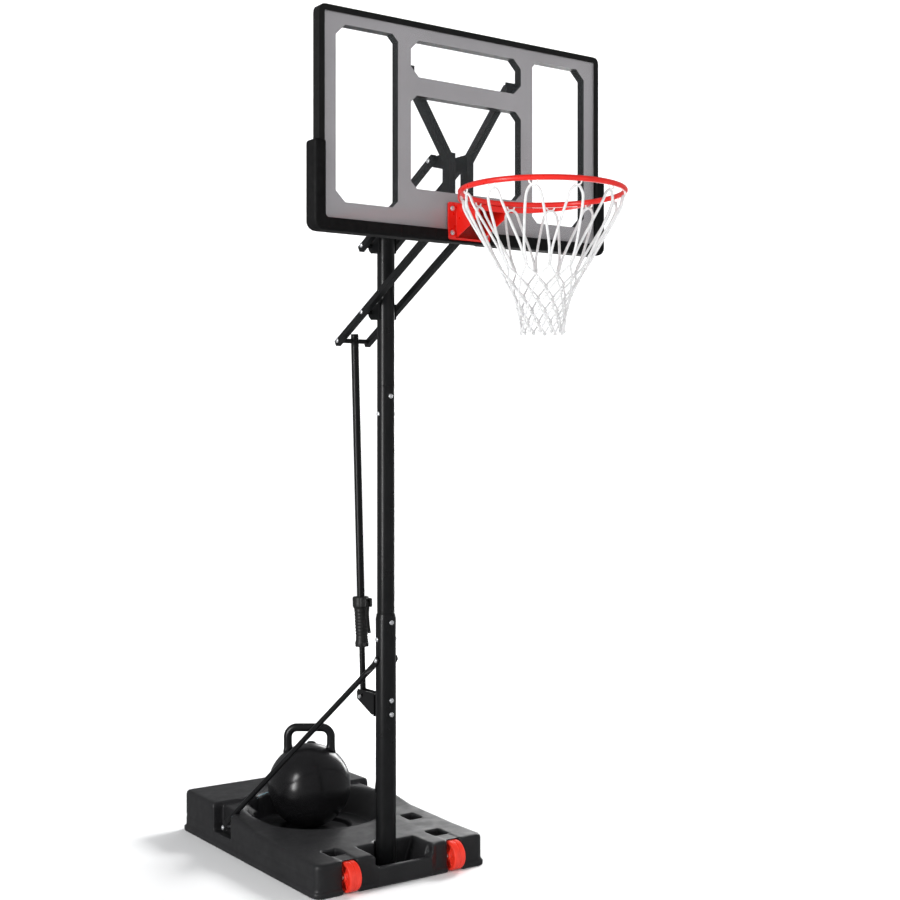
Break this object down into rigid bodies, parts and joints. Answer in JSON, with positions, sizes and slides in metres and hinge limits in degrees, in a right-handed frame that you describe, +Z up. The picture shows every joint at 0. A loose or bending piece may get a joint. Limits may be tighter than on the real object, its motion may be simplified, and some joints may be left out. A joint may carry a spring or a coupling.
{
  "type": "portable basketball hoop",
  "caption": "Portable basketball hoop: filled base on wheels, pole with struts, parallelogram arms with lift grip, clear board, ring, net and ball-shaped weight.",
  "frame": {"origin": "on the floor under the axis of the pole, at the flat underside of the base", "axes": "+X to the right of someone facing the board, +Y behind the board, +Z up"},
  "size_m": [1.1, 1.9766, 2.722],
  "materials": {
    "black_paint": "satin",
    "black_plastic": "satin",
    "tank_plastic": "satin",
    "frame_plastic": "satin",
    "trim_plastic": "satin",
    "grey_print": "gloss",
    "clear_sheet": "gloss",
    "red_paint": "gloss",
    "wheel_plastic": "satin",
    "pad_foam": "matte",
    "zinc": "satin",
    "net_cord": "matte",
    "ball_plastic": "gloss",
    "water": "gloss",
    "sand": "matte"
  },
  "bodies": {
    "base": {"base_tank": "tank_plastic", "ballast_water": "water", "left_wheel_axle": "zinc", "right_wheel_axle": "zinc", "pole_foot_cap": "black_plastic", "pole_lower": "black_paint", "pole_middle": "black_paint", "pole_upper": "black_paint", "pole_top_cap": "black_plastic", "lower_joint_bolt_front": "zinc", "lower_joint_bolt_side": "zinc", "upper_joint_bolt_front": "zinc", "upper_joint_bolt_side": "zinc", "left_strut": "black_paint", "right_strut": "black_paint", "strut_pole_bolt": "zinc", "left_strut_bolt": "zinc", "right_strut_bolt": "zinc", "lower_pivot_bracket": "black_paint", "upper_pivot_bracket": "black_paint", "lower_pivot_bolt": "zinc", "upper_pivot_bolt": "zinc", "lift_bracket": "black_paint", "lift_bracket_bolt_upper": "zinc", "lift_bracket_bolt_lower": "zinc"},
    "left_wheel": {"left_wheel": "wheel_plastic"},
    "right_wheel": {"right_wheel": "wheel_plastic"},
    "fill_cap": {"base_fill_cap": "black_plastic"},
    "lower_arms": {"left_lower_arm": "black_paint", "right_lower_arm": "black_paint", "rear_pin": "zinc", "lower_front_bolt": "zinc"},
    "upper_arms": {"left_upper_arm": "black_paint", "right_upper_arm": "black_paint", "upper_front_bolt": "zinc"},
    "board": {"left_board_bracket": "black_paint", "right_board_bracket": "black_paint", "board_frame": "frame_plastic", "board_face": "grey_print", "board_panel": "clear_sheet", "board_trim": "trim_plastic", "board_pad": "pad_foam", "rim_bracket": "red_paint", "rim_ring": "red_paint", "rim_brace": "red_paint", "rim_bolt_1": "zinc", "rim_bolt_2": "zinc", "rim_bolt_3": "zinc", "rim_bolt_4": "zinc", "net": "net_cord"},
    "lift_tube": {"lift_tube": "black_paint", "lift_handle": "black_plastic", "trigger_pin": "zinc"},
    "lift_trigger": {"lift_trigger": "black_plastic"},
    "lift_rod": {"lift_rod": "black_paint", "lift_rod_pin": "zinc"},
    "weight": {"weight_ball": "ball_plastic", "weight_handle": "ball_plastic", "weight_sand": "sand"},
    "weight_cap": {"weight_cap": "ball_plastic"}
  },
  "joints": [
    {"name": "height_adjust", "type": "hinge", "parent": "base", "child": "lower_arms", "pos_m": [0, 0.042, 1.89], "axis": [-1, 0, 0], "range_deg": [-25, 25]},
    {"name": "upper_arm_pivot", "type": "hinge", "parent": "base", "child": "upper_arms", "pos_m": [0, 0.042, 2.114], "axis": [-1, 0, 0], "range_deg": [-25.5, 25.5]},
    {"name": "board_level", "type": "hinge", "parent": "lower_arms", "child": "board", "pos_m": [0, -0.35595, 2.11059], "axis": [-1, 0, 0], "range_deg": [-25.5, 25.5]},
    {"name": "lift_tube_pivot", "type": "hinge", "parent": "lower_arms", "child": "lift_tube", "pos_m": [0, 0.20031, 1.80225], "axis": [-1, 0, 0], "range_deg": [-27, 27]},
    {"name": "lift_rod_slide", "type": "slide", "parent": "lift_tube", "child": "lift_rod", "axis": [0, -0.045, -0.999], "range_m": [-0.069, 0.069]},
    {"name": "trigger_squeeze", "type": "hinge", "parent": "lift_tube", "child": "lift_trigger", "pos_m": [0, 0.11762, 0.90006], "axis": [1, 0, 0], "range_deg": [0, 8], "stiffness_Nm_per_rad": 0.8, "springref_deg": -8.59},
    {"name": "left_wheel_spin", "type": "hinge", "parent": "base", "child": "left_wheel", "pos_m": [-0.205, -0.098, 0.052], "axis": [1, 0, 0], "continuous": true},
    {"name": "right_wheel_spin", "type": "hinge", "parent": "base", "child": "right_wheel", "pos_m": [0.205, -0.098, 0.052], "axis": [1, 0, 0], "continuous": true},
    {"name": "fill_cap_lift", "type": "slide", "parent": "base", "child": "fill_cap", "axis": [0, 0, 1], "range_m": [0, 0.05]},
    {"name": "weight_lift", "type": "slide", "parent": "base", "child": "weight", "axis": [0, 0, 1], "range_m": [0, 0.5]},
    {"name": "weight_cap_lift", "type": "slide", "parent": "weight", "child": "weight_cap", "axis": [0.2617, 0.371, 0.891], "range_m": [0, 0.04]}
  ],
  "couplings": [
    {"joint": "upper_arm_pivot", "follows": "height_adjust", "ratio": 1},
    {"joint": "board_level", "follows": "height_adjust", "ratio": -1},
    {"joint": "lift_tube_pivot", "follows": "height_adjust", "ratio": -1.0648},
    {"joint": "lift_rod_slide", "follows": "height_adjust", "m_per_rad": -0.156}
  ]
}
